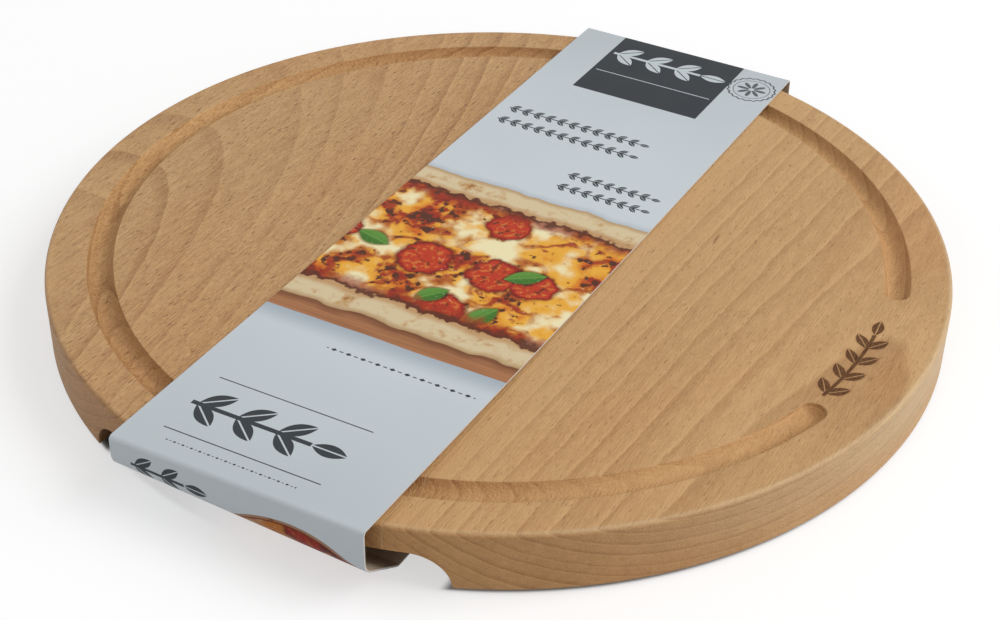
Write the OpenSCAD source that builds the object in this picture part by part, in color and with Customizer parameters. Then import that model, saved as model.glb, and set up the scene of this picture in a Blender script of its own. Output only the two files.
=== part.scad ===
/* [Board] */
// Diameter of the round board
board_d = 240; // [200:1:300]
// Thickness of the board
board_t = 16.8; // [15:0.1:24]
// Rounding of the rim's top and bottom edges
edge_r = 1.1; // [0.5:0.1:2]

/* [Staves] */
// Distance from the sleeve's edges out to the edges of the middle stave under it
joint_margin = 0.3; // [0.2:0.1:10]
// Thickness of each glue line
glue_line_t = 0.2; // [0.1:0.05:0.4]

/* [Juice groove] */
// Distance from the rim to the middle of the groove
groove_inset = 14.2; // [10:0.1:25]
// Radius of the round-nosed cutter that makes the groove
groove_cutter_r = 3.5; // [3:0.1:5]
// Depth of the groove below the serving face
groove_depth = 2.6; // [1.5:0.1:2.9]
// Angle that is left uncut between the two ends of the groove
groove_gap_angle = 28; // [10:1:60]
// Direction of the middle of that gap, measured from +X
groove_gap_turn = -0.5; // [-10:0.5:10]

/* [Finger recesses] */
// Length of each recess along the underside of the rim
recess_l = 99.6; // [90:0.2:120]
// Height of each recess, and radius of its coved back and ends
recess_h = 9.8; // [6:0.1:11]
// How far each recess reaches in from the rim, at the underside
recess_reach = 24; // [16:0.5:40]

/* [Card sleeve] */
// Width of the sleeve across the board
sleeve_w = 69.5; // [50:0.5:85]
// Thickness of the card
card_t = 0.45; // [0.3:0.05:0.6]
// Gap between the card and the board's flat faces
face_gap = 0.2; // [0.1:0.05:0.4]
// Gap between the rim and each end panel of the sleeve
end_gap = 0.8; // [0.4:0.1:1.5]
// Inner radius of the fold at the top of each end panel
top_fold_r = 0.8; // [0.4:0.1:1.5]
// Inner radius of the fold at the foot of each end panel
foot_fold_r = 4.5; // [2:0.1:6]
// Inner radius of the bend where the card levels out under the board
tuck_bend_r = 2; // [1:0.1:4]
// Slope of the card where it turns in under the board
tuck_angle = 33; // [28:1:45]
// Gap that the sloping card keeps from the rim's lower edge as the sleeve slides
slide_gap = 0.2; // [0.1:0.05:0.4]

/* [Sleeve seam] */
// Overlap of the sleeve's two flaps under the board
seam_overlap = 24; // [12:1:40]
// Distance of the seam's middle from the board's centre
seam_offset = 40; // [20:1:60]
// Thickness of the glue between the flaps
seam_glue_t = 0.1; // [0.05:0.05:0.2]
// Margin between the glue and the edges of the flaps
seam_glue_margin = 4; // [2:0.5:5]

/* [Hidden] */
$fn = 96;
overrun = 1;
arc_steps = 12;
// The swept groove stops this far short of the middle of each plunge
plunge_lead = 0.5;

board_r = board_d / 2;
flap_top_z = 2 * card_t + seam_glue_t;
board_z = flap_top_z + face_gap;
board_top_z = board_z + board_t;

groove_r = board_r - groove_inset;
groove_axis_z = board_top_z - groove_depth + groove_cutter_r;
groove_half_w = sqrt(pow(groove_cutter_r, 2) - pow(groove_cutter_r - groove_depth, 2));
groove_end_angle = groove_gap_angle / 2 + asin(groove_half_w / groove_r);

recess_half_l = recess_l / 2;
recess_flat_half_l = recess_half_l - recess_h;
recess_cove_y = board_r - recess_reach + recess_h;

sleeve_half_w = sleeve_w / 2;
joint_x = sleeve_half_w + joint_margin;
panel_y = board_r + end_gap;
sleeve_roof_z = board_top_z + face_gap;

// The sloping card passes just clear of the rim's rounded lower edge at the end of a recess
edge_centre = [sqrt(pow(board_r, 2) - pow(recess_half_l, 2)) - edge_r, board_z + edge_r];
tuck_point = edge_centre + (edge_r + slide_gap) * [sin(tuck_angle), -cos(tuck_angle)];

// Height of the sloping card's inner side at a distance y from the board's middle
function tuck_z(y) = tuck_point[1] + (y - tuck_point[0]) * tan(tuck_angle);

// Distance from the board's middle at which the sloping card's inner side has the height z
function tuck_y(z) = tuck_point[0] + (z - tuck_point[1]) / tan(tuck_angle);

// Points of an arc about a centre, from one angle to another
function arc(centre, r, from, to) = [
    for (i = [0 : arc_steps])
        let (angle = from + (to - from) * i / arc_steps)
        centre + r * [cos(angle), sin(angle)]
];

// One half of the sleeve's side view, from its flap's end to the middle of its top panel, drawn
// at a distance out from the card's inner side. The flap's inner side has the height floor_z.
function half_loop(flap_end_y, floor_z, out) =
    let (
        bend_z = floor_z + tuck_bend_r,
        bend_y = tuck_y(bend_z - tuck_bend_r / cos(tuck_angle)),
        foot_y = panel_y - foot_fold_r,
        foot_z = tuck_z(foot_y) + foot_fold_r / cos(tuck_angle)
    )
    concat(
        [[flap_end_y, floor_z - out]],
        arc([bend_y, bend_z], tuck_bend_r + out, -90, tuck_angle - 90),
        arc([foot_y, foot_z], foot_fold_r + out, tuck_angle - 90, 0),
        arc([panel_y - top_fold_r, sleeve_roof_z - top_fold_r], top_fold_r + out, 0, 90),
        [[0, sleeve_roof_z + out]]
    );

function reversed(points) = [for (i = [len(points) - 1 : -1 : 0]) points[i]];

function flipped(points) = [for (p = points) [-p[0], p[1]]];

// Half of the board's upright section, with rounded edges at the rim
module board_section() {
    polygon(concat(
        [[0, board_z]],
        arc([board_r - edge_r, board_z + edge_r], edge_r, -90, 0),
        arc([board_r - edge_r, board_top_z - edge_r], edge_r, 0, 90),
        [[0, board_top_z]]
    ));
}

// Path of the round-nosed cutter, with a round plunge at both ends
module groove_cut() {
    sweep_start_angle = groove_end_angle + asin(plunge_lead / groove_r);
    rotate([0, 0, groove_gap_turn + sweep_start_angle])
        rotate_extrude(angle = 360 - 2 * sweep_start_angle)
            translate([groove_r, groove_axis_z])
                circle(groove_cutter_r);
    for (side = [-1, 1])
        rotate([0, 0, groove_gap_turn + side * groove_end_angle])
            translate([groove_r, 0, groove_axis_z])
                sphere(groove_cutter_r);
}

// Space that a round-nosed cutter clears from below at the +Y end of the board, with a coved back
// and coved ends
module recess_cut() {
    intersection() {
        translate([-recess_half_l - overrun, 0, 0])
            rotate([90, 0, 90])
                linear_extrude(recess_l + 2 * overrun)
                    polygon(concat(
                        [[board_r - recess_reach, board_z - overrun]],
                        arc([recess_cove_y, board_z], recess_h, 180, 90),
                        [[board_r + overrun, board_z + recess_h], [board_r + overrun, board_z - overrun]]
                    ));
        translate([0, board_r + overrun, 0])
            rotate([90, 0, 0])
                linear_extrude(recess_reach + 2 * overrun)
                    polygon(concat(
                        [[-recess_half_l, board_z - overrun]],
                        arc([-recess_flat_half_l, board_z], recess_h, 180, 90),
                        arc([recess_flat_half_l, board_z], recess_h, 90, 0),
                        [[recess_half_l, board_z - overrun]]
                    ));
    }
}

// The glued-up board as one shape, before it is divided into staves
module board_shape() {
    difference() {
        rotate_extrude()
            board_section();
        groove_cut();
        recess_cut();
        mirror([0, 1, 0])
            recess_cut();
    }
}

// The part of the board between two distances across the grain
module board_slice(from_x, to_x) {
    intersection() {
        board_shape();
        translate([from_x, -board_r - overrun, board_z - overrun])
            cube([to_x - from_x, board_d + 2 * overrun, board_t + 2 * overrun]);
    }
}

module stave_left() {
    color("#c39a6d")
        board_slice(-board_r - overrun, -joint_x - glue_line_t);
}

module stave_centre() {
    color("#cba476")
        board_slice(-joint_x, joint_x);
}

module stave_right() {
    color("#c79d70")
        board_slice(joint_x + glue_line_t, board_r + overrun);
}

module glue_line_left() {
    color("#a5794c")
        board_slice(-joint_x - glue_line_t, -joint_x);
}

module glue_line_right() {
    color("#a5794c")
        board_slice(joint_x, joint_x + glue_line_t);
}

// One band of card round the board. The flap from the -Y end lies under the flap from the +Y end.
module sleeve() {
    lower_flap_end = -seam_offset - seam_overlap / 2;
    upper_flap_end = seam_offset - seam_overlap / 2;
    color("#b9c1c6")
        translate([-sleeve_half_w, 0, 0])
            rotate([90, 0, 90])
                linear_extrude(sleeve_w)
                    polygon(concat(
                        flipped(half_loop(lower_flap_end, card_t, card_t)),
                        reversed(half_loop(upper_flap_end, flap_top_z, card_t)),
                        half_loop(upper_flap_end, flap_top_z, 0),
                        reversed(flipped(half_loop(lower_flap_end, card_t, 0)))
                    ));
}

// Strip of glue between the two flaps
module sleeve_seam_glue() {
    glue_l = seam_overlap - 2 * seam_glue_margin;
    color("#d8cfae")
        translate([seam_glue_margin - sleeve_half_w, seam_offset - glue_l / 2, card_t])
            cube([sleeve_w - 2 * seam_glue_margin, glue_l, seam_glue_t]);
}

stave_left();
stave_centre();
stave_right();
glue_line_left();
glue_line_right();
sleeve();
sleeve_seam_glue();
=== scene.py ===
"""A round beech serving board in its card sleeve: three glued staves, a juice groove, finger recesses
underneath and a printed band of card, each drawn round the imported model."""

import math

import bmesh
import bpy
import numpy as np
from mathutils import Matrix, Vector


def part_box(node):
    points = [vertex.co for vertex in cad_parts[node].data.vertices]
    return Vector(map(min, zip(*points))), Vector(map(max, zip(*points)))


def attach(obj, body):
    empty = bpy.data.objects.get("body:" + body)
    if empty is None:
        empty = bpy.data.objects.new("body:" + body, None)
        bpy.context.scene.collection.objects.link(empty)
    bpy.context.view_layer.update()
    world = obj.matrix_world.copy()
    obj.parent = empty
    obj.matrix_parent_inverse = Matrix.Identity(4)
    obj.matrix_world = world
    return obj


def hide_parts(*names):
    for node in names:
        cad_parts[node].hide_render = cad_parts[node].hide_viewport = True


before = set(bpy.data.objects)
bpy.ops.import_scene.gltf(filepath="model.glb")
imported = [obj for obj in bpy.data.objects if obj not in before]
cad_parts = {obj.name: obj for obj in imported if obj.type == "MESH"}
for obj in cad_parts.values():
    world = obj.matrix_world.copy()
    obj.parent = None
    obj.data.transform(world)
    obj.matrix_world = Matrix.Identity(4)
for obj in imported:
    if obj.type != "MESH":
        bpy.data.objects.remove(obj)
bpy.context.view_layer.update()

MM = 0.001

# Turn between two faces above which the edge between them is sharp
WOOD_SHARP_TURN = math.radians(30)
CARD_SHARP_TURN = math.radians(50)

# Sizes of the board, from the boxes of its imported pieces
left_low, left_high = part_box("stave_left")
right_low, right_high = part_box("stave_right")
centre_low, centre_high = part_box("stave_centre")
BOARD_R = right_high.x
BOARD_FLOOR = right_low.z
BOARD_TOP = right_high.z

# Sizes that the boxes don't give
EDGE_R = 1.1 * MM
GROOVE_R = BOARD_R - 14.2 * MM
CUTTER_R = 3.5 * MM
GROOVE_DEPTH = 2.6 * MM
GROOVE_GAP_ANGLE = math.radians(28)
GROOVE_GAP_TURN = math.radians(-0.5)
GROOVE_LIP = 0.3 * MM
RECESS_HALF_LENGTH = 49.8 * MM
RECESS_HEIGHT = 9.8 * MM
RECESS_REACH = 24 * MM
RECESS_LIP = 0.4 * MM
GROOVE_AXIS_LIFT = CUTTER_R - GROOVE_DEPTH
GROOVE_HALF_W = math.sqrt(CUTTER_R**2 - GROOVE_AXIS_LIFT**2)
GROOVE_END_ANGLE = GROOVE_GAP_ANGLE / 2 + math.asin(GROOVE_HALF_W / GROOVE_R)
RECESS_END_Y = math.sqrt(BOARD_R**2 - RECESS_HALF_LENGTH**2)

# The board's radius and the heights of its faces in millimetres, as the materials use them
RIM = BOARD_R / MM
TOP = BOARD_TOP / MM
BOTTOM = BOARD_FLOOR / MM

# Sizes of the sleeve
_, sleeve_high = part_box("sleeve")
seam_low, seam_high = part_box("sleeve_seam_glue")
CARD_T = 0.45 * MM
SLEEVE_HALF_W = sleeve_high.x
PANEL_Y = sleeve_high.y - CARD_T
ROOF_Z = sleeve_high.z - CARD_T
LOWER_FLAP_Z = seam_low.z
UPPER_FLAP_Z = seam_high.z + CARD_T
TOP_FOLD_R = 0.8 * MM
FOOT_FOLD_R = 4.5 * MM
TUCK_BEND_R = 2 * MM
TUCK_ANGLE = math.radians(33)
SLIDE_GAP = 0.2 * MM
LOWER_FLAP_END = 52 * MM
UPPER_FLAP_END = 28 * MM

# How far the springy card stands up at its near right corner, over what distance and how steeply it
# rises there, and how far its near foot is drawn up at the left
CORNER_LIFT = 1.9 * MM
CORNER_REACH = 140 * MM
CORNER_POWER = 1.3
FOOT_LIFT = 1.9 * MM

# Fineness of the card's mesh: points of a fold, columns across the card and the longest straight step
FOLD_STEPS = 14
CARD_COLUMNS = 24
CARD_STEP = 4 * MM

# Camera of the photograph, in the part's own frame
LENS = 66.47
SENSOR_W = 36
NEAR_CLIP = 10 * MM
CAMERA_PLACE = Vector((0.20156, -0.36580, 0.28811))
CAMERA_FORWARD = Vector((-0.39322, 0.71559, -0.57733))
CAMERA_ROLL = math.radians(1.0232)


# Shader arithmetic


class Value:
    """A number or colour that varies over a surface. Arithmetic on it adds Math nodes to its tree."""

    def __init__(self, socket):
        self.socket = socket
        self.tree = socket.id_data

    def math(self, operation, *others):
        node = self.tree.nodes.new("ShaderNodeMath")
        node.operation = operation
        for slot, operand in zip(node.inputs, (self, *others)):
            feed(slot, operand)
        return Value(node.outputs[0])

    def __add__(self, other):
        return self.math("ADD", other)

    def __sub__(self, other):
        return self.math("SUBTRACT", other)

    def __rsub__(self, other):
        return self.math("MULTIPLY_ADD", -1.0, other)

    def __mul__(self, other):
        return self.math("MULTIPLY", other)

    def __truediv__(self, other):
        return self.math("DIVIDE", other)

    def __abs__(self):
        return self.math("ABSOLUTE")

    def smooth(self, low, high):
        """0 at low, 1 at high and a soft step between, also where low is the larger."""
        node = self.tree.nodes.new("ShaderNodeMapRange")
        node.interpolation_type = "SMOOTHSTEP"
        for slot, operand in zip(node.inputs, (self, low, high)):
            feed(slot, operand)
        return Value(node.outputs[0])


def feed(slot, value):
    """Puts a Value, a plain number or a colour into a node's input."""
    if isinstance(value, Value):
        slot.id_data.links.new(value.socket, slot)
    else:
        slot.default_value = value


# Kinds of a Mix node, in the order of its sockets
MIX_KINDS = ("FLOAT", "VECTOR", "RGBA")


def mix(share, first, second, kind="RGBA", blend="MIX"):
    """A value between two others: a colour, a number or three numbers, by its kind."""
    tree = next(v.tree for v in (share, first) if isinstance(v, Value))
    node = tree.nodes.new("ShaderNodeMix")
    node.data_type = kind
    node.blend_type = blend
    place = MIX_KINDS.index(kind)
    feed(node.inputs["Factor"], share)
    feed(node.inputs[2 + 2 * place], first)
    feed(node.inputs[3 + 2 * place], second)
    return Value(node.outputs[place])


def tinted(colour, tint, share):
    """A colour multiplied by a tint, in part."""
    return mix(share, colour, tint, blend="MULTIPLY")


def combined(x, y, z):
    tree = next(v.tree for v in (x, y, z) if isinstance(v, Value))
    node = tree.nodes.new("ShaderNodeCombineXYZ")
    for slot, operand in zip(node.inputs, (x, y, z)):
        feed(slot, operand)
    return Value(node.outputs[0])


def separated(vector):
    node = vector.tree.nodes.new("ShaderNodeSeparateXYZ")
    feed(node.inputs[0], vector)
    return [Value(socket) for socket in node.outputs]


def noise(point, size, detail=2.0, seed=0.0):
    """A noise node at a point, where size is the distance over which it changes along each axis."""
    x, y, z = (axis / length for axis, length in zip(point, size))
    node = x.tree.nodes.new("ShaderNodeTexNoise")
    feed(node.inputs["Vector"], combined(x + seed, y, z))
    node.inputs["Scale"].default_value = 1.0
    node.inputs["Detail"].default_value = detail
    return node


def noise_value(point, size, detail=2.0, seed=0.0):
    """Noise about zero, mostly within -0.5 and 0.5."""
    return Value(noise(point, size, detail, seed).outputs[0]) * 2.0 - 1.0


def noise_vector(point, size, seed=0.0):
    """Three separate noises about zero."""
    colour = Value(noise(point, size, 2.0, seed).outputs[1])
    return [axis * 2.0 - 1.0 for axis in separated(colour)]


def cells(point, size):
    """Distance to the nearest of scattered points, in cell sizes, and three random numbers of it."""
    x, y, z = (axis / length for axis, length in zip(point, size))
    node = x.tree.nodes.new("ShaderNodeTexVoronoi")
    feed(node.inputs["Vector"], combined(x, y, z))
    node.inputs["Scale"].default_value = 1.0
    return Value(node.outputs["Distance"]), separated(Value(node.outputs["Color"]))


def random_of(value):
    """One random number for each whole value."""
    node = value.tree.nodes.new("ShaderNodeTexWhiteNoise")
    node.noise_dimensions = "1D"
    feed(node.inputs["W"], value)
    return Value(node.outputs["Value"])


def polar(x, y):
    """Distance from zero and direction of a place."""
    return (x * x + y * y).math("SQRT"), y.math("ARCTAN2", x)


def drawn(distance, softness=0.12):
    """1 inside a shape and 0 outside it, from the distance outside it."""
    return distance.smooth(softness / 2, -softness / 2)


def inward(edge, insets):
    """Places at some distances in from an edge."""
    return [edge - inset for inset in insets]


def new_material(name, specular=0.5):
    """A material with its Principled shader."""
    material = bpy.data.materials.new(name)
    material.use_nodes = True
    shader = material.node_tree.nodes["Principled BSDF"]
    shader.inputs["Specular IOR Level"].default_value = specular
    return material, shader


def object_point(shader):
    """The place on the piece, in millimetres."""
    node = shader.id_data.nodes.new("ShaderNodeTexCoord")
    return [axis / MM for axis in separated(Value(node.outputs["Object"]))]


def finish(shader, colour, roughness, height=None):
    """Gives a material its colour, its roughness and a relief in millimetres, if it has one."""
    feed(shader.inputs["Base Color"], colour)
    feed(shader.inputs["Roughness"], roughness)
    if height is not None:
        node = shader.id_data.nodes.new("ShaderNodeBump")
        node.inputs["Distance"].default_value = MM
        feed(node.inputs["Height"], height)
        feed(shader.inputs["Normal"], Value(node.outputs[0]))


# Leaf ornaments, drawn as distances outside a shape

# Distance between pairs of leaves along a stem, in leaf lengths
SPRIG_PITCH = 1.15


def leaf(forward, sideways, length):
    """A pointed leaf that starts at zero, with its vein left out."""
    slimness, vein_share = 0.23, 0.022
    place = forward * (2 / length) - 1.0
    blade = abs(sideways) - (1.0 - place * place) * (length * slimness)
    vein = length * vein_share - abs(sideways)
    return blade.math("MAXIMUM", vein)


def sprig(along, across, pairs, length=1.0):
    """A stem that starts at zero, with pairs of leaves of one length and a last leaf at its tip."""
    lean, foot_share, stem_share = math.radians(38), 0.4, 0.07
    pitch = length * SPRIG_PITCH
    half_stem = pairs * (pitch / 2)
    beside = abs(across)
    local = ((along / pitch).math("FRACT") - 0.5) * pitch + length * foot_share
    forward = local * math.cos(lean) + beside * math.sin(lean)
    sideways = beside * math.cos(lean) - local * math.sin(lean)
    row = leaf(forward, sideways, length).math("MINIMUM", beside - length * stem_share)
    row = row.math("MAXIMUM", abs(along - half_stem) - half_stem)
    return row.math("MINIMUM", leaf(along - half_stem * 2, across, length))


# The burned sprig on the right stave: the distance of its stem from the board's middle, the direction
# of its foot, the length of a leaf, in millimetres, and its pairs of leaves
BURN_R = 103.8
BURN_FOOT = math.radians(-12.6)
BURN_LEAF = 6.5
BURN_PAIRS = 4

# A pin knot and a reddish stain on the same stave: place and half size, in millimetres
KNOT = (51.5, 27.2, 0.6, 3.0)
STAIN = (113, -8, 5, 14)

# A band of painted light beside the sleeve, over the joint on the right: its middle across the board, and
# half its width
PAINTED_LIGHT_BAND_X = right_low.x / MM
PAINTED_LIGHT_BAND_HALF = 14

# Places where the near stretch of the groove gets painted light, each from the first value to the second
PAINTED_LIGHT_BED_X = (40.0, 75.0)
PAINTED_LIGHT_BED_Y = (-30.0, -75.0)

# The strip of the rim with a painted sheen: its distances in from the rim, and how far from the board's
# underside and top it fades
RIM_SHEEN_INSET = (1.6, 0.4)
RIM_SHEEN_LOW = 3.0
RIM_SHEEN_HIGH = 6.0


def burned_sprig(x, y, z):
    """How much of a sprig that follows the rim is charred at a place, and how scorched it is there."""
    radius, angle = polar(x, y)
    distance = sprig((angle - BURN_FOOT) * BURN_R, radius - BURN_R, BURN_PAIRS, BURN_LEAF)
    on_top = (TOP - z).smooth(0.6, 0.3)
    return drawn(distance, 0.2) * on_top, distance.smooth(0.9, -0.1) * on_top * 0.4


def blot(x, y, place):
    """A soft oval mark along the grain."""
    middle_x, middle_y, half_w, half_length = place
    return polar((x - middle_x) / half_w, (y - middle_y) / half_length)[0].smooth(1.3, 0.3)


# Beech

# Colours of the wood
EARLY_WOOD = (0.635, 0.39, 0.180, 1)
LATE_WOOD = (0.325, 0.152, 0.050, 1)
# Paler, greyer wood of the rim's painted sheen
RIM_SHEEN_WOOD = (0.63, 0.52, 0.34, 1)
FLECK = (0.21, 0.098, 0.036, 1)
PINK_TINT = (1.0, 0.94, 0.90, 1)
STAIN_TINT = (0.99, 0.91, 0.84, 1)
END_GRAIN_TINT = (0.78, 0.715, 0.66, 1)
CUT_TINT = (1.0, 0.96, 0.91, 1)
# Painted shade of the recesses
RECESS_PAINTED_SHADE = (0.52, 0.43, 0.36, 1)
SCORCH_TINT = (0.72, 0.55, 0.42, 1)
BURN = (0.068, 0.020, 0.003, 1)

# Distances over which the wood's markings change across, along and up, in millimetres
WANDER_SIZE = (70, 260, 70)
RIPPLE_SIZE = (9, 26, 9)
WAVER_SIZE = (3, 9, 3)
PACE_SIZE = (9, 1, 1)
FIBRE_SIZE = (0.4, 9, 0.4)
PORE_SIZE = (0.2, 1.7, 0.2)
MOTTLE_SIZE = (1.6, 5.5, 1.6)
SLOW_SIZE = (24, 210, 24)
STREAK_SIZE = (4.5, 120, 4.5)
PINK_SIZE = (34, 90, 34)
TORN_SIZE = (0.7, 0.9, 0.7)

# Cells that hold one ray fleck each: round the pith, along the grain and out from the pith
DASH_CELL = (0.86, 4.6, 20)
SPECK_CELL = (0.52, 2.1, 9)

# How each stave was sawn: place of the pith across the board and above its top, in millimetres, how
# fast it climbs along the grain, the width of a ring, a seed, how dark the stave is and how strong
# its flecks are
LEFT_FIGURE = (-108, 100, 0.135, 3.8, 11.3, 0.03, 1.2)
RIGHT_FIGURE = (107, 80.3, 0.0255, 3.1, 5.1, 0.0, 0.6)
CENTRE_FIGURE = (107, 80.3, 0.0255, 3.1, 5.1, 0.02, 0.6)


def growth_rings(point, figure):
    """Dark late wood and pale early wood of each ring, with polar places about the pith."""
    pith_x, pith_rise, climb, ring_w, seed = figure[:5]
    x, y, z = point
    wander = noise_vector(point, WANDER_SIZE, seed)
    ripple = noise_vector(point, RIPPLE_SIZE, seed + 3)
    waver = noise_vector(point, WAVER_SIZE, seed + 5)
    across = x - pith_x + wander[0] * 2.6 + ripple[0] * 0.8 + waver[0] * 0.3
    up = y * climb - z + (pith_rise + TOP) + wander[2] * 1.6 + ripple[2] * 0.25
    radius = (across * across + up * up).math("SQRT")
    pace = noise_value((radius, 0, 0), PACE_SIZE, 1.0, seed)
    phase = radius / ring_w + pace * 0.7
    ring = phase.math("FLOOR")
    share = phase.math("FRACT")
    strength = random_of(ring + seed) * 0.6 + 0.4
    late = share.smooth(0.6, 0.95) * share.smooth(1.0, 0.97) * strength
    pale = share.smooth(0.22, 0.02) * strength
    around = across.math("ARCTAN2", up) * abs(pith_rise) + ripple[1] * 0.4
    return late, pale, radius, around


def ray_flecks(around, y, radius):
    """Cut ends of the wood's rays: large dark dashes among many small faint ones."""
    large, large_random = cells((around, y, radius), DASH_CELL)
    large_size = large_random[0] * 0.17 + 0.13
    dashes = large.smooth(large_size, large_size * 0.45) * (large_random[1] * 0.6 + 0.4)
    small, small_random = cells((around, y, radius), SPECK_CELL)
    small_size = small_random[0] * 0.2 + 0.14
    specks = small.smooth(small_size, small_size * 0.4) * small_random[1]
    return dashes, specks


def groove_bed(x, y, z):
    """1 on the cut faces of the juice groove."""
    beside = abs(polar(x, y)[0] - GROOVE_R / MM)
    half_w, depth = GROOVE_HALF_W / MM, GROOVE_DEPTH / MM
    sunk = TOP - z
    sunk = sunk.smooth(0.05, 0.35) * sunk.smooth(depth + 1.0, depth + 0.5)
    return sunk * beside.smooth(half_w + 1.0, half_w + 0.2)


def recess_walls(x, y, z):
    """1 on the coved faces of both recesses."""
    ceiling = BOTTOM + RECESS_HEIGHT / MM
    raised = (z - BOTTOM).smooth(0.1, 0.8) * z.smooth(ceiling + 0.4, ceiling + 0.1)
    return raised * polar(x, y)[0].smooth(RIM - 0.3, RIM - 1.2)


def painted_light_and_marks(colour, point, bed, end_grain, slow, streak, mottle):
    """Painted light on the near stretch of the groove, a painted sheen on the rim, a stain and a pin knot
    of the right stave.
    """
    x, y, z = point
    # Painted light on the near stretch of the groove
    painted_light_bed = bed * y.smooth(*PAINTED_LIGHT_BED_Y) * x.smooth(*PAINTED_LIGHT_BED_X)
    colour = mix(painted_light_bed * 0.5, colour, EARLY_WOOD)
    # Painted sheen on the long-grain faces of the rim, strongest towards the top
    rim_sheen = polar(x, y)[0].smooth(*inward(RIM, RIM_SHEEN_INSET)) * (1.0 - end_grain)
    rim_sheen = rim_sheen * (z.smooth(BOTTOM + RIM_SHEEN_LOW, TOP - RIM_SHEEN_HIGH) * 0.8 + 0.2)
    colour = mix(rim_sheen * (slow * 0.3 + 0.34), colour, RIM_SHEEN_WOOD)
    stain = blot(x + mottle * 1.5, y, STAIN) * (streak * 0.6 + 0.7)
    colour = tinted(colour, STAIN_TINT, stain)
    return mix(blot(x + mottle, y, KNOT) * 0.75, colour, FLECK)


def beech(name, figure, marks_and_painted_light=False):
    """Beech with growth rings about a pith, ray flecks, fibres and slow changes of tone, all through
    the solid, so that the pattern runs on over every edge. Weights are shares of the way from early
    to late wood, and heights are in millimetres."""
    seed, darkness, fleck_strength = figure[4:]
    material, shader = new_material(name, 0.22)
    x, y, z = object_point(shader)
    point = (x, y, z)

    late, pale, radius, around = growth_rings(point, figure)
    dashes, specks = ray_flecks(around, y, radius)
    fibre = noise_value(point, FIBRE_SIZE, 2.0, seed)
    pores = noise_value(point, PORE_SIZE, 1.0, seed)
    mottle = noise_value(point, MOTTLE_SIZE, 2.0, seed + 17)
    slow = noise_value(point, SLOW_SIZE, 2.0, seed + 7)
    streak = noise_value(point, STREAK_SIZE, 2.0, seed + 9)
    pinkness = noise_value(point, PINK_SIZE, 2.0, seed + 13)

    geometry = shader.id_data.nodes.new("ShaderNodeNewGeometry")
    _, along, upward = (abs(axis) for axis in separated(Value(geometry.outputs["Normal"])))
    end_grain = along.smooth(0.05, 0.95)
    flecked = (1.0 - end_grain * 0.85) * (upward.smooth(0.2, 0.9) * 0.7 + 0.3) * fleck_strength
    tone = (
        late * (end_grain * 0.1 + fleck_strength * 0.2 + 0.14)
        - pale * 0.22
        + slow * 0.22
        + streak * 0.18
        + fibre * (0.5 * fleck_strength)
        + pores * (0.56 * fleck_strength)
        + mottle * 0.22
        + (0.24 + darkness)
    )
    bed = groove_bed(x, y, z)
    # Painted light beside the sleeve's edge on the top, against the shade of the raised card
    painted_light_band = abs(x - PAINTED_LIGHT_BAND_X).smooth(PAINTED_LIGHT_BAND_HALF, 1.0) * upward.smooth(0.5, 0.9)
    tone = tone * (1.0 - painted_light_band * (1.0 - bed) * 0.7)
    colour = mix(tone, EARLY_WOOD, LATE_WOOD)
    colour = mix(dashes * flecked * 0.7, colour, FLECK)
    colour = mix(specks * flecked * 0.6, colour, FLECK)
    colour = tinted(colour, PINK_TINT, pinkness.smooth(-0.3, 0.5))
    colour = tinted(colour, END_GRAIN_TINT, end_grain)

    torn = noise_value(point, TORN_SIZE, 2.0, seed + 23)
    colour = tinted(colour, CUT_TINT, bed * (torn * 0.8 + 0.8))
    # Painted shade on the coved faces of both recesses
    colour = tinted(colour, RECESS_PAINTED_SHADE, recess_walls(x, y, z))

    height = (fibre * 0.12 + pores * 0.1) * fleck_strength - (dashes * 0.12 + specks * 0.09) * flecked
    height = height - late * 0.03 + bed * torn * 0.14
    roughness = fibre * 0.05 + slow * 0.03 - late * 0.04 + bed * 0.1 + 0.5
    # The right stave's painted light and sheen, its stain, pin knot and burned sprig
    if marks_and_painted_light:
        colour = painted_light_and_marks(colour, point, bed, end_grain, slow, streak, mottle)
        charred, scorched = burned_sprig(x, y, z)
        colour = tinted(colour, SCORCH_TINT, scorched)
        colour = mix(charred * (pores * 0.4 + 0.86), colour, BURN)
        height = height - charred * 0.1
        roughness = roughness + charred * 0.25
    finish(shader, colour, roughness, height)
    return material


# Board

# Fineness of the board's mesh: points of a rounded edge, of a cove and of a recess's lip, and the
# flat strip beside a rounded edge
EDGE_STEPS = 8
COVE_STEPS = 24
LIP_STEPS = 5
EDGE_FLAT = 0.4 * MM


def smoothed_max(value, softness):
    """A value that eases to zero where it would turn negative."""
    return (value + np.sqrt(value**2 + softness**2)) / 2


def groove_sink(radius, angle):
    """Depth of the groove at a distance from the middle of the board and a direction from its gap."""
    past_end = np.maximum(GROOVE_END_ANGLE - np.abs(angle), 0)
    off_path = np.hypot(radius * np.cos(past_end) - GROOVE_R, radius * np.sin(past_end))
    inside = np.minimum(off_path, CUTTER_R)
    round_nose = np.sqrt(CUTTER_R**2 - inside**2) - GROOVE_AXIS_LIFT
    eased = smoothed_max(round_nose, GROOVE_LIP)
    return eased * (off_path < CUTTER_R)


def arc(centre, radius, start, end, steps):
    """Points of an arc in the (across, up) plane."""
    angles = np.radians(np.linspace(start, end, steps + 1))
    return [(centre[0] + radius * math.cos(a), centre[1] + radius * math.sin(a)) for a in angles]


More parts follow.
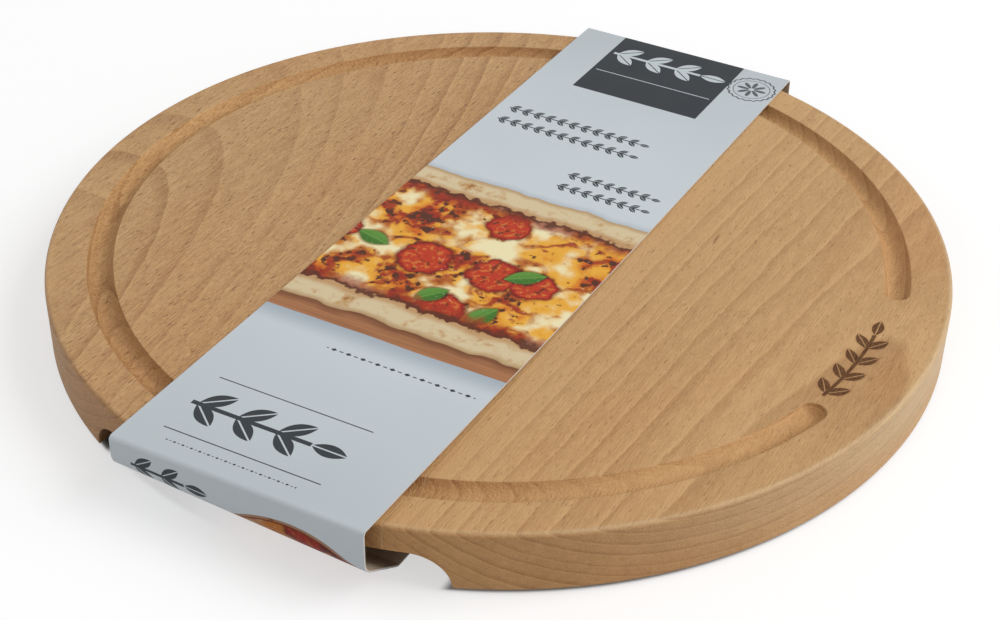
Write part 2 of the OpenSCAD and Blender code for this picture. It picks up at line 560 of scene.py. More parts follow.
def groove_rings():
    """Distances from the middle of the rings that carry the groove, closest at its lips."""
    lip_reach, lip_step, bed_step = 0.9 * MM, 0.1 * MM, 0.3 * MM
    far_ring, near_ring = 3 * MM, 1 * MM
    start, stop = GROOVE_R - CUTTER_R, GROOVE_R + CUTTER_R
    lips = [GROOVE_R - GROOVE_HALF_W, GROOVE_R + GROOVE_HALF_W]
    rings = [start - far_ring, start - near_ring]
    rings += list(np.arange(start, lips[0] + lip_reach, lip_step))
    rings += list(np.arange(lips[0] + lip_reach, lips[1] - lip_reach, bed_step))
    rings += list(np.arange(lips[1] - lip_reach, stop + lip_step, lip_step))
    return rings + [stop + near_ring]


def turn_steps():
    """Directions round the board, measured from the middle of the groove's gap, closest together at
    the groove's two ends."""
    coarse, fine, zone_share = math.radians(0.75), math.radians(0.1), 1.2
    half_zone = zone_share * GROOVE_HALF_W / GROOVE_R
    ends = (-GROOVE_END_ANGLE, GROOVE_END_ANGLE)
    turns = np.arange(-math.pi, math.pi, coarse)
    turns = [turn for turn in turns if min(abs(turn - end) for end in ends) > half_zone]
    for end in ends:
        turns += list(np.arange(end - half_zone, end + half_zone, fine))
    return np.array(sorted(turns))


def round_board():
    """The whole board with its groove, before the recesses are cut."""
    flat_edge = BOARD_R - EDGE_R
    section = [(radius, None) for radius in groove_rings()]
    section += [(flat_edge - EDGE_FLAT, BOARD_TOP)]
    section += arc((flat_edge, BOARD_TOP - EDGE_R), EDGE_R, 90, 0, EDGE_STEPS)
    section += arc((flat_edge, BOARD_FLOOR + EDGE_R), EDGE_R, 0, -90, EDGE_STEPS)
    section += [(flat_edge - EDGE_FLAT, BOARD_FLOOR)]
    turns = turn_steps()
    mesh = bmesh.new()
    rows = []
    for radius, height in section:
        sink = groove_sink(radius, turns) if height is None else np.zeros(len(turns))
        level = BOARD_TOP if height is None else height
        directions = turns + GROOVE_GAP_TURN
        row = zip(radius * np.cos(directions), radius * np.sin(directions), level - sink)
        rows.append([mesh.verts.new(place) for place in row])
    mesh.faces.new(rows[0])
    mesh.faces.new(reversed(rows[-1]))
    for inner, outer in zip(rows, rows[1:]):
        for i in range(len(turns)):
            mesh.faces.new((inner[i - 1], outer[i - 1], outer[i], inner[i]))
    return mesh


def cove_profile(flat_half, out_to):
    """Distance from the middle and height of a recess's section, from its ceiling out to its lip."""
    cove_end = math.degrees(math.asin(RECESS_LIP / RECESS_HEIGHT))
    cove = arc((flat_half, 0), RECESS_HEIGHT, 90, cove_end, COVE_STEPS)
    lip_centre = (out_to + RECESS_LIP, RECESS_LIP)
    lip_start, lip_end = 190, 260
    return cove + arc(lip_centre, RECESS_LIP, lip_start, lip_end, LIP_STEPS)


def recess_cutter(side):
    """The space of one recess: two sets of coves that meet on a mitre, open past the rim."""
    overrun = 2 * MM
    across = cove_profile(RECESS_HALF_LENGTH - RECESS_HEIGHT, RECESS_HALF_LENGTH)
    back = BOARD_R - RECESS_REACH
    inward = [(-p, h) for p, h in cove_profile(-back - RECESS_HEIGHT, -back)]
    columns = [(-p, h) for p, h in reversed(across)] + across
    lines = [(BOARD_R + overrun, RECESS_HEIGHT)] + inward
    mesh = bmesh.new()
    top = [
        [mesh.verts.new((x, y, BOARD_FLOOR + min(hx, hy))) for x, hx in columns]
        for y, hy in lines
    ]
    bottom = [
        [mesh.verts.new((x, y, BOARD_FLOOR - overrun)) for x, _ in (columns[0], columns[-1])]
        for y in (lines[0][0], lines[-1][0])
    ]
    half, last = len(across), len(columns) - 1
    for j, (near, far) in enumerate(zip(top, top[1:])):
        for i in range(last):
            corners = [near[i], near[i + 1], far[i + 1], far[i]]
            if i >= half:
                corners = corners[1:] + corners[:1]
            mesh.faces.new(corners[:3])
            mesh.faces.new((corners[0], corners[2], corners[3]))
    mesh.faces.new([*reversed(top[0]), bottom[0][0], bottom[0][1]])
    mesh.faces.new([*top[-1], bottom[1][1], bottom[1][0]])
    mesh.faces.new([*(row[0] for row in top), bottom[1][0], bottom[0][0]])
    mesh.faces.new([*(row[-1] for row in reversed(top)), bottom[0][1], bottom[1][1]])
    mesh.faces.new((bottom[0][0], bottom[1][0], bottom[1][1], bottom[0][1]))
    if side < 0:
        bmesh.ops.scale(mesh, vec=(1, -1, 1), verts=mesh.verts)
    bmesh.ops.recalc_face_normals(mesh, faces=mesh.faces)
    return mesh


def new_object(name, mesh):
    """Turns a bmesh into an object and frees it."""
    data = bpy.data.meshes.new(name)
    mesh.to_mesh(data)
    mesh.free()
    made = bpy.data.objects.new(name, data)
    bpy.context.scene.collection.objects.link(made)
    return made


def carved_board():
    """The board's mesh with both recesses cut."""
    board = new_object("board", round_board())
    cutters = [new_object("cutter", recess_cutter(side)) for side in (1, -1)]
    for cutter in cutters:
        carving = board.modifiers.new("carving", "BOOLEAN")
        carving.operation = "DIFFERENCE"
        carving.solver = "EXACT"
        carving.object = cutter
    carved = bmesh.new()
    carved.from_object(board, bpy.context.evaluated_depsgraph_get())
    for spare in (board, *cutters):
        bpy.data.objects.remove(spare)
    return carved


def board_slice(name, carved, from_x, to_x):
    """The part of the board between two distances across the grain, closed where it is sawn."""
    mesh = carved.copy()
    exactness = 1e-7
    for x, outward in ((from_x, -1), (to_x, 1)):
        if abs(x) > BOARD_R - MM:
            continue
        cut = bmesh.ops.bisect_plane(
            mesh,
            geom=[*mesh.verts, *mesh.edges, *mesh.faces],
            plane_co=(x, 0, 0),
            plane_no=(outward, 0, 0),
            clear_outer=True,
            dist=exactness,
        )
        edges = [e for e in cut["geom_cut"] if isinstance(e, bmesh.types.BMEdge)]
        bmesh.ops.edgenet_fill(mesh, edges=edges)
    bmesh.ops.recalc_face_normals(mesh, faces=mesh.faces)
    for face in mesh.faces:
        face.smooth = True
    piece = new_object(name, mesh)
    piece.data.set_sharp_from_angle(angle=WOOD_SHARP_TURN)
    even = piece.modifiers.new("even_shading", "WEIGHTED_NORMAL")
    even.keep_sharp = True
    return piece


# Colours of the glues, and how much darker their dark places are
JOINT_GLUE = (0.55, 0.33, 0.145, 1)
CARD_GLUE = (0.68, 0.62, 0.42, 1)
GLUE_SHADE = 0.7


def glue(name, colour):
    """Cured glue, slightly uneven."""
    material, shader = new_material(name)
    uneven = noise_value(object_point(shader), (3, 9, 3), 3.0)
    darker = (*(GLUE_SHADE * channel for channel in colour[:3]), 1)
    colour = mix(uneven.smooth(-0.6, 0.6), colour, darker)
    finish(shader, colour, uneven * 0.15 + 0.45, uneven * 0.01)
    return material


def make_board():
    """The three staves and the two glue lines between them."""
    carved = carved_board()
    joint_glue = glue("joint_glue", JOINT_GLUE)
    spans = {
        "stave_left": (left_low.x, left_high.x, beech("beech_left", LEFT_FIGURE)),
        "stave_centre": (centre_low.x, centre_high.x, beech("beech_centre", CENTRE_FIGURE)),
        "stave_right": (right_low.x, right_high.x, beech("beech_right", RIGHT_FIGURE, marks_and_painted_light=True)),
        "glue_line_left": (left_high.x, centre_low.x, joint_glue),
        "glue_line_right": (centre_high.x, right_low.x, joint_glue),
    }
    for node, (from_x, to_x, material) in spans.items():
        piece = board_slice(node + "_finish", carved, from_x, to_x)
        piece.data.materials.append(material)
        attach(piece, "board")
        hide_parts(node)
    carved.free()


# Sleeve


def sleeve_half(flap_end, floor_z):
    """Inner side of one half of the band, from its flap's end to the middle of its roof: each place
    with the direction that faces away from the board."""
    edge_y = RECESS_END_Y - EDGE_R
    tuck_y = edge_y + (EDGE_R + SLIDE_GAP) * math.sin(TUCK_ANGLE)
    tuck_z = BOARD_FLOOR + EDGE_R - (EDGE_R + SLIDE_GAP) * math.cos(TUCK_ANGLE)
    bend_z = floor_z + TUCK_BEND_R
    bend_y = tuck_y + (bend_z - TUCK_BEND_R / math.cos(TUCK_ANGLE) - tuck_z) / math.tan(TUCK_ANGLE)
    foot_y = PANEL_Y - FOOT_FOLD_R
    foot_z = tuck_z + (foot_y - tuck_y) * math.tan(TUCK_ANGLE) + FOOT_FOLD_R / math.cos(TUCK_ANGLE)
    tuck_turn = math.degrees(TUCK_ANGLE) - 90
    folds = (
        ((bend_y, bend_z), TUCK_BEND_R, -90, tuck_turn),
        ((foot_y, foot_z), FOOT_FOLD_R, tuck_turn, 0),
        ((PANEL_Y - TOP_FOLD_R, ROOF_Z - TOP_FOLD_R), TOP_FOLD_R, 0, 90),
    )
    path = [((flap_end, floor_z), (0, -1))]
    for centre, radius, start, end in folds:
        directions = arc((0, 0), 1, start, end, FOLD_STEPS)
        path += zip(arc(centre, radius, start, end, FOLD_STEPS), directions)
    return path + [((0, ROOF_Z), (0, 1))]


def filled_in(path, longest):
    """The same path with its long straight stretches divided."""
    dense = [path[0]]
    for (start, _), (end, out) in zip(path, path[1:]):
        before_out = dense[-1][1]
        parts = max(1, math.ceil(math.dist(start, end) / longest))
        for i in range(1, parts + 1):
            share = i / parts
            place = tuple(a + (b - a) * share for a, b in zip(start, end))
            turned = tuple(a + (b - a) * share for a, b in zip(before_out, out))
            dense.append((place, turned))
    return dense


def sleeve_path():
    """Inner side of the whole band, from the lower flap's end round to the upper flap's end."""
    near = sleeve_half(-LOWER_FLAP_END, LOWER_FLAP_Z)
    far = sleeve_half(UPPER_FLAP_END, UPPER_FLAP_Z)
    near = [((-y, z), (-out_y, out_z)) for (y, z), (out_y, out_z) in near]
    return filled_in(near + list(reversed(far))[1:], CARD_STEP)


def sprung(x, y, z):
    """Where a point of the folded card comes to lie, because the card is springy and was folded a
    little out of square."""
    foot_y = PANEL_Y - FOOT_FOLD_R
    foot_z = BOARD_FLOOR + (foot_y - RECESS_END_Y) * math.tan(TUCK_ANGLE) + FOOT_FOLD_R
    right = (x + SLEEVE_HALF_W) / (2 * SLEEVE_HALF_W)
    above_foot = min(max((z - foot_z) / (ROOF_Z - foot_z), 0), 1)
    past_tuck = min(max((-y - RECESS_END_Y) / (foot_y - RECESS_END_Y), 0), 1)
    near = min(max((CORNER_REACH - PANEL_Y - y) / CORNER_REACH, 0), 1)
    lift = CORNER_LIFT * right * near**CORNER_POWER * above_foot
    drawn_up = FOOT_LIFT * (1 - right) * past_tuck * (1 - above_foot)
    return x, y, z + lift + drawn_up


def card_outlines():
    """Places along the inner and the outer side of the folded card, and how far each lies from the
    middle of the roof, along the outer side."""
    path = sleeve_path()
    inner = np.array([place for place, _ in path])
    outer = inner + CARD_T * np.array([out for _, out in path])
    steps = np.hypot(*np.diff(outer, axis=0).T)
    run = np.concatenate([[0], np.cumsum(steps)])
    middle = np.argmin(np.abs(inner[:, 0]) + (inner[:, 1] < BOARD_TOP))
    return inner, outer, run - run[middle]


def card_mesh():
    """The folded card as one closed shape, with its places on the print."""
    inner, outer, run = card_outlines()
    columns = np.linspace(-SLEEVE_HALF_W, SLEEVE_HALF_W, CARD_COLUMNS)
    mesh = bmesh.new()
    layer = mesh.loops.layers.uv.new("print_mm")
    inside, outside = (
        [[mesh.verts.new(sprung(x, y, z)) for x in columns] for y, z in outline]
        for outline in (inner, outer)
    )
    print_side, back_side, edge_side = range(3)

    def add(corners, uvs, slot):
        face = mesh.faces.new(corners)
        face.material_index = slot
        face.smooth = True
        for loop, uv in zip(face.loops, uvs):
            loop[layer].uv = uv

    last_row, last_column = len(run) - 1, len(columns) - 1
    for j in range(last_row):
        for i in range(last_column):
            grid = ((j, i), (j, i + 1), (j + 1, i + 1), (j + 1, i))
            uvs = [(columns[b] / MM, run[a] / MM) for a, b in grid]
            add([outside[a][b] for a, b in grid], uvs, print_side)
            add([inside[a][b] for a, b in reversed(grid)], list(reversed(uvs)), back_side)
        for i in (0, last_column):
            edge = [inside[j][i], inside[j + 1][i], outside[j + 1][i], outside[j][i]]
            uvs = [(columns[i] / MM, run[j] / MM)] * 4
            add(edge if i == 0 else list(reversed(edge)), uvs, edge_side)
    for j in (0, last_row):
        for i in range(last_column):
            edge = [inside[j][i], outside[j][i], outside[j][i + 1], inside[j][i + 1]]
            uvs = [(columns[i] / MM, run[j] / MM)] * 4
            add(edge if j == 0 else list(reversed(edge)), uvs, edge_side)
    bmesh.ops.recalc_face_normals(mesh, faces=mesh.faces)
    return mesh


def make_sleeve():
    """The card band, with a printed outside, a bare inside and cut edges."""
    piece = new_object("sleeve_card", card_mesh())
    piece.data.set_sharp_from_angle(angle=CARD_SHARP_TURN)
    for material in (card_print(), card_back(), card_edge()):
        piece.data.materials.append(material)
    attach(piece, "sleeve")
    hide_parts("sleeve")


def finish_seam_glue():
    """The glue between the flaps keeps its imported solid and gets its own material."""
    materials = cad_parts["sleeve_seam_glue"].data.materials
    materials.clear()
    materials.append(glue("card_glue", CARD_GLUE))


# Card. Places on the print are in millimetres: x across the card, and v along its outer side from
# the middle of the top panel, less than zero towards the near end.

CARD_GREY = (0.585, 0.638, 0.672, 1)
INK = (0.020, 0.026, 0.031, 1)
LABEL_GREY = (0.026, 0.031, 0.037, 1)
# The back's pulp, browned with a painted reflection of the wood and painted shade
PULP_SHADED = (0.62, 0.52, 0.40, 1)
PULP_SHADED_DARK = (0.52, 0.42, 0.31, 1)
CUT_PULP = (0.66, 0.62, 0.58, 1)
CUT_PULP_DARK = (0.54, 0.5, 0.46, 1)

# Colours of the pictured food and its plank, and tints for their shades
CHEESE_ORANGE = (0.66, 0.15, 0.015, 1)
CHEESE_YELLOW = (0.86, 0.43, 0.05, 1)
CHEESE_CREAM = (0.93, 0.82, 0.50, 1)
SAUCE = (0.34, 0.030, 0.010, 1)
TOAST = (0.085, 0.022, 0.008, 1)
CRUST = (0.72, 0.58, 0.36, 1)
CRUST_TOASTED = (0.52, 0.27, 0.09, 1)
TOMATO = (0.52, 0.042, 0.014, 1)
TOMATO_SKIN = (0.26, 0.010, 0.006, 1)
TOMATO_JELLY = (0.66, 0.20, 0.04, 1)
BASIL = (0.045, 0.16, 0.018, 1)
BASIL_PALE = (0.16, 0.36, 0.06, 1)
PLANK = (0.43, 0.19, 0.085, 1)
PLANK_DARK = (0.25, 0.095, 0.04, 1)
GLOSS = (0.95, 0.9, 0.8, 1)
TOMATO_SHADE = (0.35, 0.22, 0.18, 1)
BASIL_SHADE = (0.3, 0.28, 0.16, 1)
CRUST_EDGE_SHADE = (0.62, 0.46, 0.32, 1)
CRUST_FOOT_SHADE = (0.75, 0.52, 0.36, 1)
PLANK_SHADE = (0.5, 0.42, 0.38, 1)
GROUND_SHADE = (0.33, 0.39, 0.47, 1)
NEAR_SHADE = (0.48, 0.32, 0.3, 1)

# Layout of the print: the broad picture and its plank, the second picture on the near panel, which is
# the top of a circle, the dark label, and the stamp, whose rings each have a distance in from its
# edge and half a width
PICTURE_MIDDLE = -16
PICTURE_HALF = 36
PLANK_REACH = 6.5
NEAR_PANEL = -118
CRESCENT_X = 15.7
CRESCENT_V = -158.5
CRESCENT_R = 32.6
CRESCENT_GAIN = 13
CRUST_W = 8.5
LABEL_X = (-21.3, 19.7)
LABEL_V = (83.3, 131)
SEAL = (27, 108.8)
SEAL_R = 7.5
SEAL_SCALLOPS = 20.0
SEAL_RINGS = ((0.4, 0.28), (1.9, 0.12))
PETAL_R = 4.6
HEART_R = 0.9

# Spacing of the tomato slices and of the basil leaves, how many places of each stay empty, the sizes
# that they have or start from, and how far off an absent one is put
TOMATO_SPACING = 21
TOMATO_ABSENT = 0.3
TOMATO_R = 5.0
BASIL_SPACING = 16.5
BASIL_ABSENT = 0.55
BASIL_LENGTH = 8.5
BASIL_HALF_W = 2.9
NOWHERE = 100

# The ground has painted shade towards both ends of the top panel, a little more towards the far one,
# and painted light past them: shares for each millimetre and each of its squares, then distances in v at
# which the painted shade has gone and is whole, and between which the end panels turn paler
FADE = 0.00016
FADE_SQUARE = 0.0000121
FADE_GONE = (190, 150)
END_PANELS = (116, 124)


def print_place(shader):
    """Place on the print."""
    node = shader.id_data.nodes.new("ShaderNodeUVMap")
    node.uv_map = "print_mm"
    x, v, _ = separated(Value(node.outputs[0]))
    return x, v


def print_noise(x, v, size, detail=2.0, seed=0.0):
    return noise_value((x, v, 0), (size, size, 1), detail, seed)


def scattered(x, v, spacing, seed):
    """Place beside the nearest of scattered spots, and three random numbers of that spot."""
    node = x.tree.nodes.new("ShaderNodeTexVoronoi")
    node.voronoi_dimensions = "2D"
    node.inputs["Scale"].default_value = 1.0
    node.inputs["Randomness"].default_value = 0.8
    across, along = x / spacing + seed, v / spacing + seed
    feed(node.inputs["Vector"], combined(across, along, 0.0))
    spot_x, spot_v, _ = separated(Value(node.outputs["Position"]))
    return (across - spot_x) * spacing, (along - spot_v) * spacing, separated(Value(node.outputs["Color"]))


def picture_depth(x, v):
    """Distance in from the edge of the pictured pizza: a broad one on the top panel and the top of
    another on the near panel."""
    broad = PICTURE_HALF - abs(v - PICTURE_MIDDLE)
    crescent = (CRESCENT_R - polar(x - CRESCENT_X, v - CRESCENT_V)[0]) * CRESCENT_GAIN
    depth = mix(v.math("LESS_THAN", NEAR_PANEL), broad, crescent, "FLOAT")
    return depth + noise_value((x, v, 0), (13, 40, 1), 2.0, 4) * 2.4


def cheese(x, v):
    """Melted cheese in pale pools, with veins of sauce between them and toasted spots."""
    broad = print_noise(x, v, 13, 2.0, 31)
    fine = print_noise(x, v, 3.4, 3.0, 37)
    pool = broad + fine * 0.24
    colour = mix(pool.smooth(-0.34, -0.02), CHEESE_ORANGE, CHEESE_YELLOW)
    colour = mix(pool.smooth(-0.02, 0.3), colour, CHEESE_CREAM)
    veins = abs(print_noise(x, v, 15, 2.0, 35) + fine * 0.16).smooth(0.13, 0.03) * pool.smooth(0.3, -0.1)
    colour = mix(veins * 0.9, colour, SAUCE)
    colour = mix((fine * 0.7 - broad).smooth(0.14, 0.4), colour, SAUCE)
    spots = print_noise(x, v, 2.6, 2.0, 43) + veins * 0.22
    return mix((spots - broad * 0.7).smooth(0.26, 0.46), colour, TOAST)


def tomato_slices(colour, x, v):
    """Baked slices of tomato with seeds in their flesh and a dark skin."""
    near_x, near_v, random = scattered(x, v, TOMATO_SPACING, 3.3)
    near_x = near_x + print_noise(x, v, 4.5, 2.0, 47) * 2.2
    near_v = near_v + print_noise(x, v, 4.5, 2.0, 49) * 2.2
    size = random[0] * 2.4 + TOMATO_R
    absent = random[1].math("LESS_THAN", TOMATO_ABSENT) * NOWHERE
    radius = polar(near_x, near_v)[0]
    edge = radius - size + absent
    colour = tinted(colour, TOMATO_SHADE, edge.smooth(1.4, -0.2))
    share = radius / size
    seeds = print_noise(x, v, 1.5, 2.0, 53).smooth(-0.05, 0.3)
    seeds = seeds * share.smooth(0.2, 0.4) * share.smooth(0.88, 0.7)
    flesh = mix(seeds * 0.9, TOMATO, TOMATO_JELLY)
    flesh = mix(share.smooth(0.8, 0.98), flesh, TOMATO_SKIN)
    flesh = mix(print_noise(x, v, 2.2, 2.0, 55).smooth(0.12, 0.36) * 0.85, flesh, TOAST)
    return mix(drawn(edge, 0.5), colour, flesh)


def basil_leaves(colour, x, v):
    """Basil leaves with pale veins."""
    near_x, near_v, random = scattered(x, v, BASIL_SPACING, 5.7)
    radius, angle = polar(near_x, near_v)
    turned = angle + random[0] * math.tau
    length = random[2] * 3.0 + BASIL_LENGTH
    forward = radius * turned.math("COSINE")
    sideways = radius * turned.math("SINE")
    place = forward / (length * 0.5)
    absent = random[1].math("LESS_THAN", BASIL_ABSENT) * NOWHERE
    edge = abs(sideways) - (1.0 - place * place) * BASIL_HALF_W + absent
    colour = tinted(colour, BASIL_SHADE, edge.smooth(1.3, 0.0))
    ribs = ((forward - abs(sideways) * 0.7) * 3.2).math("COSINE").smooth(0.8, 1.0) * 0.35
    veins = abs(sideways).smooth(0.32, 0.1).math("MAXIMUM", ribs)
    blade = mix(sideways.smooth(-1.6, 1.8) * 0.6, BASIL, BASIL_PALE)
    return mix(drawn(edge, 0.3), colour, mix(veins * 0.7, blade, BASIL_PALE))


def crust(x, v, depth):
    """Baked rim of the pizza, toasted on its crown and brown next to the sauce."""
    broad = print_noise(x, v, 7, 3.0, 61)
    fine = print_noise(x, v, 1.6, 3.0, 67)
    crown = depth.smooth(0.0, 3.2) * depth.smooth(CRUST_W + 1.0, CRUST_W - 3.5)
    colour = mix((broad + fine * 0.4).smooth(-0.05, 0.45) * crown, CRUST, CRUST_TOASTED)
    colour = mix((broad + fine * 0.7).smooth(0.42, 0.7) * crown, colour, TOAST)
    colour = tinted(colour, CRUST_EDGE_SHADE, depth.smooth(2.4, 0.0) * 0.8)
    return tinted(colour, CRUST_FOOT_SHADE, depth.smooth(CRUST_W - 2.5, CRUST_W) * 0.9)


def picture(colour, x, v):
    """A rustic pizza on a plank, that runs right across the card."""
    depth = picture_depth(x, v)
    below = PICTURE_MIDDLE - PICTURE_HALF - PLANK_REACH - v + print_noise(x, v, 30, 1.0, 71) * 0.6
    shade = abs(below).smooth(7.5, 0.0) * v.math("GREATER_THAN", NEAR_PANEL) * 0.5
    shade = shade.math("MAXIMUM", depth.smooth(-3.0, 0.5) * 0.35)
    colour = tinted(colour, GROUND_SHADE, shade)
    plank_grain = noise_value((x, v, 0), (22, 0.9, 1), 3.0, 73)
    plank = mix(plank_grain.smooth(-0.4, 0.5) * 0.6, PLANK, PLANK_DARK)
    plank = tinted(plank, PLANK_SHADE, depth.smooth(-3.5, 0.0))
    on_plank = below.math("MAXIMUM", v - PICTURE_MIDDLE)
    colour = mix(drawn(on_plank, 0.3), colour, plank)
    food = basil_leaves(tomato_slices(cheese(x, v), x, v), x, v)
    glints = print_noise(x, v, 0.9, 1.0, 75).smooth(0.34, 0.5)
    glossy = print_noise(x, v, 7, 1.0, 77).smooth(-0.1, 0.3)
    food = mix(glints * glossy * 0.55, food, GLOSS)
    rim_depth = depth + print_noise(x, v, 3.0, 2.0, 79) * 3.2
    food = mix(rim_depth.smooth(CRUST_W + 7.0, CRUST_W + 3.0) * 0.8, food, SAUCE)
    food = mix(rim_depth.smooth(CRUST_W + 3.6, CRUST_W + 1.4) * 0.9, food, TOAST)
    food = mix(rim_depth.smooth(CRUST_W + 0.8, CRUST_W), food, crust(x, v, depth))
    food = tinted(food, NEAR_SHADE, v.math("LESS_THAN", NEAR_PANEL))
    return mix(drawn(depth * -1.0, 0.4), colour, food)


# Each sprig ornament of the print: the v above which it is used, then its foot in x and v and its
# pairs of leaves, then the length of a leaf, the distance of twin rows from their middle and the
# distance of rules from it. A place off the card leaves a stretch without its sprig, and a large
# distance leaves it without rules.
SPRIGS = (
    (None, (-29, -127.8, 2), (6.6, 0, 400)),
    (-119, (-26, -101.2, 3), (9.8, 0, 10.8)),
    (-80, (0, -300, 1), (1, 0, 90)),
    (24, (2, 32.4, 7), (3.2, 3.4, 90)),
    (45, (-31, 57.6, 11), (3.4, 3.7, 90)),
    (78, (-19.9, 109, 3), (8.6, 0, 12.5)),
)
RULE_HALF_W = 0.17

# The two rows of beads, the upper one first: their v, pitch, middle in x and half length. The lower
# one is used below BEADS_SPLIT.
BEADS_SPLIT = -90
BEAD_ROWS = ((-67.5, 4.2, 10.5, 21.0), (-115.6, 2.4, -4.5, 18.0))


def sprig_ornaments(x, v):
    """All sprigs and rules of the print as one distance."""
    foot, shape = SPRIGS[0][1:]
    for above, next_foot, next_shape in SPRIGS[1:]:
        flag = v.math("GREATER_THAN", above)
        foot = mix(flag, foot, next_foot, "VECTOR")
        shape = mix(flag, shape, next_shape, "VECTOR")
    foot_x, middle_v, pairs = separated(foot)
    length, row_offset, rule_offset = separated(shape)
    along = (x - foot_x) / length
    beside = abs(v - middle_v)
    ornament = sprig(along, (beside - row_offset) / length, pairs) * length
    half_rule = pairs * (SPRIG_PITCH / 2) + 0.5
    rule = abs(beside - rule_offset) - RULE_HALF_W
    rule = rule.math("MAXIMUM", (abs(along - half_rule) - half_rule) * length)
    return ornament.math("MINIMUM", rule)


def bead_rows(x, v):
    """Two rows of small diamonds with dashes between them."""
    low_row = v.math("LESS_THAN", BEADS_SPLIT)
    choices = [mix(low_row, *pair, "FLOAT") for pair in zip(*BEAD_ROWS)]
    row_v, pitch, middle_x, half_length = choices
    place = ((x - middle_x) / pitch).math("FRACT") * 2.0 - 1.0
    above = abs(v - row_v) / pitch
    diamond = abs(place) + above * 3.0 - 0.42
    dash = (0.74 - abs(place)).math("MAXIMUM", above * 2.0 - 0.085)
    beads = diamond.math("MINIMUM", dash) * (pitch * 0.5)
    return beads.math("MAXIMUM", abs(x - middle_x) - half_length)


def seal(x, v):
    """A scalloped stamp with a flower of eight petals."""
    radius, angle = polar(x - SEAL[0], v - SEAL[1])
    scallop = (angle * SEAL_SCALLOPS).math("COSINE") * 0.22
    (outer_inset, outer_half_w), (inner_inset, inner_half_w) = SEAL_RINGS
    rims = abs(radius + scallop - SEAL_R + outer_inset) - outer_half_w
    rims = rims.math("MINIMUM", abs(radius - SEAL_R + inner_inset) - inner_half_w)
    petals = radius - abs((angle * 4.0).math("COSINE")) * PETAL_R
    return rims.math("MINIMUM", petals.math("MAXIMUM", HEART_R - radius))


def outside_span(place, span):
    """Distance of a place outside the span between two places."""
    low, high = span
    return abs(place - (low + high) / 2) - (high - low) / 2


def card_ground(x, v):
    """The print's grey, with slow random changes of tone, painted shade towards the ends of the top panel
    and painted light on the end panels.
    """
    # Painted shade along v, and painted light on the end panels
    painted_shade_fade = (v * FADE + v * v * FADE_SQUARE) * abs(v).smooth(*FADE_GONE)
    level = print_noise(x, v, 46, 2.0, 83) * 0.05 - painted_shade_fade + abs(v).smooth(*END_PANELS) * 0.03 + 1.09
    return tinted(combined(level, level, level), CARD_GREY, 1.0)


def card_print():
    """Coated card with its print: ground, picture, dark label and ornaments."""
    material, shader = new_material("card_print", 0.15)
    x, v = print_place(shader)
    colour = picture(card_ground(x, v), x, v)
    label = drawn(outside_span(x, LABEL_X).math("MAXIMUM", outside_span(v, LABEL_V)))
    colour = mix(label, colour, LABEL_GREY)
    ink = mix(label, INK, CARD_GREY)
    marks = drawn(sprig_ornaments(x, v).math("MINIMUM", bead_rows(x, v)))
    colour = mix(marks * 0.97, colour, ink)
    colour = mix(drawn(seal(x, v)) * 0.85, colour, INK)
    point = object_point(shader)
    roughness = noise_value(point, (9, 9, 9), 2.0, 89) * 0.06 + 0.46
    finish(shader, colour, roughness, noise_value(point, (26, 26, 26), 1.0, 91) * 0.12)
    return material


def card_back():
    """Bare pulp side of the card, browned with a painted reflection of the wood and painted shade."""
    material, shader = new_material("card_back", 0.2)
    point = object_point(shader)
    fibres = noise_value(point, (0.5, 0.5, 0.5), 3.0, 95)
    colour = mix(fibres.smooth(-0.6, 0.6), PULP_SHADED, PULP_SHADED_DARK)
    finish(shader, colour, fibres * 0.05 + 0.88, fibres * 0.02)
    return material


def card_edge():
    """Cut edge of the card, where its white pulp shows."""
    material, shader = new_material("card_edge", 0.2)
    point = object_point(shader)
    fibres = noise_value(point, (0.3, 0.3, 0.3), 2.0, 97)
    colour = mix(fibres.smooth(-0.6, 0.6), CUT_PULP, CUT_PULP_DARK)
    finish(shader, colour, fibres * 0.04 + 0.9)
    return material


# Surroundings

# Half the width of the floor in metres, and its greys where it is open and, as a painted shadow, under the
# board's left half
FLOOR_REACH = 6.0
FLOOR_GREY = (0.5, 0.5, 0.5, 1)
FLOOR_SHADED = (0.1, 0.1, 0.1, 1)

# How white the floor itself looks near the object, from where to where it turns quite white, and its
# darkest places, a painted shadow, in millimetres: in from the rim, in from the recesses' ends, and in X
FLOOR_GLOW = 0.56
GLOW_RISE = (400.0, 3500.0)
CONTACT_INSET = (0.6, 1.8)
CONTACT_X_INSET = (4.0, 1.0)
SHADED_INSET = (1.0, 3.0)
SHADED_X = (0.0, -30.0)

# How strongly the dome lights the object
DOME = 0.35

# Each lamp: its name, place and size in metres, and power in watts
LAMPS = (
    ("key", (1.42, 0.62, 1.5), 1.5, 30),
    ("left_fill", (-1.6, 0.25, 0.35), 0.9, 4),
    ("right_fill", (1.7, 0.0, 0.4), 0.9, 4),
    ("front_fill", (0.1, -1.7, 0.7), 1.0, 6),
)


def seen_by_eye(tree):
    """1 where the camera, a reflection or a clear material looks, and 0 where light is gathered."""
    path = tree.nodes.new("ShaderNodeLightPath")
    seen = Value(path.outputs["Is Camera Ray"])
    seen = seen.math("MAXIMUM", Value(path.outputs["Is Glossy Ray"]))
    return seen.math("MAXIMUM", Value(path.outputs["Is Transmission Ray"]))


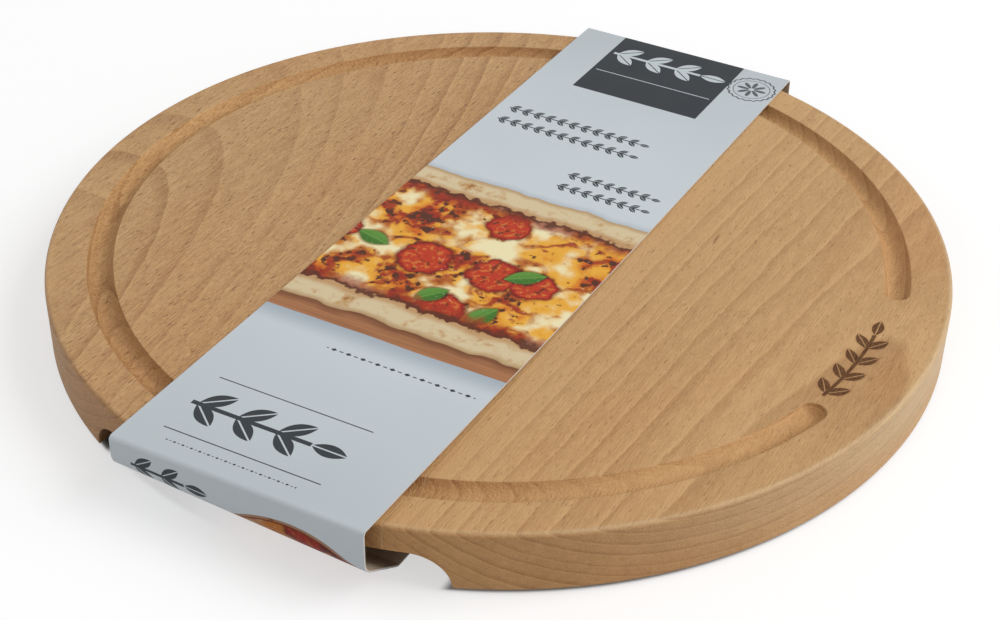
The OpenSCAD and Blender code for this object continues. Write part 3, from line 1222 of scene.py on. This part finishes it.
def make_floor():
    """A pale floor that keeps the object's shadow, with a painted shadow close under the board, and looks
    white to the camera where it is lit."""
    mesh = bmesh.new()
    corners = [(-1, -1), (1, -1), (1, 1), (-1, 1)]
    mesh.faces.new([mesh.verts.new((FLOOR_REACH * x, FLOOR_REACH * y, 0)) for x, y in corners])
    floor = new_object("floor", mesh)
    material, shader = new_material("floor_paint", 0.2)
    x, y, _ = object_point(shader)
    radius = polar(x, y)[0]
    # Painted shadow: no glow close under the rim past the recesses' ends, and a darker grey under the
    # board's left half
    contact = radius.smooth(*inward(RIM, CONTACT_INSET))
    contact = contact * abs(x).smooth(*inward(RECESS_HALF_LENGTH / MM, CONTACT_X_INSET))
    shaded = radius.smooth(*inward(RIM, SHADED_INSET)) * x.smooth(*SHADED_X)
    finish(shader, mix(shaded, FLOOR_GREY, FLOOR_SHADED), 0.7)
    shader.inputs["Emission Color"].default_value = (1, 1, 1, 1)
    glow = radius.smooth(*GLOW_RISE) * (1 - FLOOR_GLOW) - contact * FLOOR_GLOW + FLOOR_GLOW
    feed(shader.inputs["Emission Strength"], seen_by_eye(shader.id_data) * glow)
    floor.data.materials.append(material)


def make_world():
    """A dim even dome that looks white to the camera."""
    world = bpy.data.worlds.new("studio")
    bpy.context.scene.world = world
    world.use_nodes = True
    background = world.node_tree.nodes["Background"]
    background.inputs["Color"].default_value = (1, 1, 1, 1)
    feed(background.inputs["Strength"], seen_by_eye(world.node_tree) * (1 - DOME) + DOME)


def add_lamp(name, place, size, power):
    """A soft square lamp that faces the board."""
    lamp = bpy.data.lights.new(name, "AREA")
    lamp.size = size
    lamp.energy = power
    made = bpy.data.objects.new(name, lamp)
    made.location = place
    made.rotation_euler = (-Vector(place)).to_track_quat("-Z", "Y").to_euler()
    bpy.context.scene.collection.objects.link(made)


def make_camera():
    """The photograph's camera."""
    forward = CAMERA_FORWARD.normalized()
    level = forward.cross(Vector((0, 0, 1))).normalized()
    raised = level.cross(forward)
    right = level * math.cos(CAMERA_ROLL) + raised * math.sin(CAMERA_ROLL)
    above = right.cross(forward)
    camera = bpy.data.cameras.new("camera")
    camera.lens = LENS
    camera.sensor_width = SENSOR_W
    camera.clip_start = NEAR_CLIP
    made = bpy.data.objects.new("camera", camera)
    turn = Matrix((right, above, -forward)).transposed().to_4x4()
    made.matrix_world = Matrix.Translation(CAMERA_PLACE) @ turn
    bpy.context.scene.collection.objects.link(made)
    bpy.context.scene.camera = made


make_camera()
make_floor()
make_world()
for lamp_values in LAMPS:
    add_lamp(*lamp_values)
make_board()
make_sleeve()
finish_seam_glue()

bpy.context.scene.view_settings.view_transform = "Standard"
